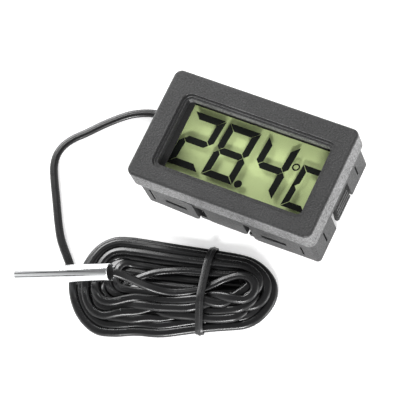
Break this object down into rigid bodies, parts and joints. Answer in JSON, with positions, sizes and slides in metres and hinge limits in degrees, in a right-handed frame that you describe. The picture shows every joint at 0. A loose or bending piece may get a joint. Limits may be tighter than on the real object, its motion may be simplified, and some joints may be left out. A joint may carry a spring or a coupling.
{
  "type": "darkroom thermometer",
  "caption": "Snap-in panel thermometer module with a segment display, and a sensor probe on a thin tied cable.",
  "frame": {"origin": "centre of the display module's rear face, which lies on the table", "axes": "+X to the right of the display, +Y up the display, +Z out of its front"},
  "size_m": [0.0745, 0.0617, 0.0172],
  "materials": {
    "housing_plastic": "fine grained matte",
    "display_glass": "clear",
    "display_green": "matte",
    "black_rubber": "matte",
    "black_resin": "satin",
    "board_green": "solder mask",
    "ceramic": "matte",
    "steel": "polished",
    "contact_metal": "plated",
    "cable_pvc": "smooth PVC",
    "tie_plastic": "satin"
  },
  "bodies": {
    "module": {"front_housing": "housing_plastic", "rear_cover": "housing_plastic", "button_cell_1": "steel", "button_cell_2": "steel", "cell_contact_negative": "contact_metal", "cell_contact_positive": "contact_metal", "lcd_gasket": "black_rubber", "lcd_front_polariser": "display_glass", "lcd_front_glass": "display_glass", "lcd_rear_glass": "display_glass", "lcd_reflector": "display_green", "contact_strip_upper": "black_rubber", "contact_strip_lower": "black_rubber", "circuit_board": "board_green", "chip_blob": "black_resin", "resistor_1": "black_resin", "resistor_2": "black_resin", "capacitor_1": "ceramic", "capacitor_2": "ceramic", "board_screw_1": "steel", "board_screw_2": "steel", "board_screw_3": "steel", "board_screw_4": "steel", "cable_grommet": "black_rubber", "sensor_wire_1": "cable_pvc", "sensor_wire_2": "cable_pvc", "probe_cable_lead": "cable_pvc", "probe_cable_hank": "cable_pvc", "probe_cable_tail": "cable_pvc", "cable_tie": "tie_plastic", "probe_sleeve": "steel", "probe_seal": "black_resin", "thermistor_bead": "black_resin"},
    "right_tongue": {"snap_tongue_right": "housing_plastic"},
    "left_tongue": {"snap_tongue_left": "housing_plastic"},
    "door": {"battery_door": "housing_plastic", "cell_link": "steel"}
  },
  "joints": [
    {"name": "right_tongue_flex", "type": "hinge", "parent": "module", "child": "right_tongue", "pos_m": [0.02245, 0.0002, 0.0069], "axis": [0, 1, 0], "range_deg": [0, 8], "stiffness_Nm_per_rad": 0.3},
    {"name": "left_tongue_flex", "type": "hinge", "parent": "module", "child": "left_tongue", "pos_m": [-0.02245, 0.0002, 0.0069], "axis": [0, -1, 0], "range_deg": [0, 8], "stiffness_Nm_per_rad": 0.3},
    {"name": "battery_door_pull", "type": "slide", "parent": "module", "child": "door", "axis": [0, 0, -1], "range_m": [0, 0.008]}
  ]
}
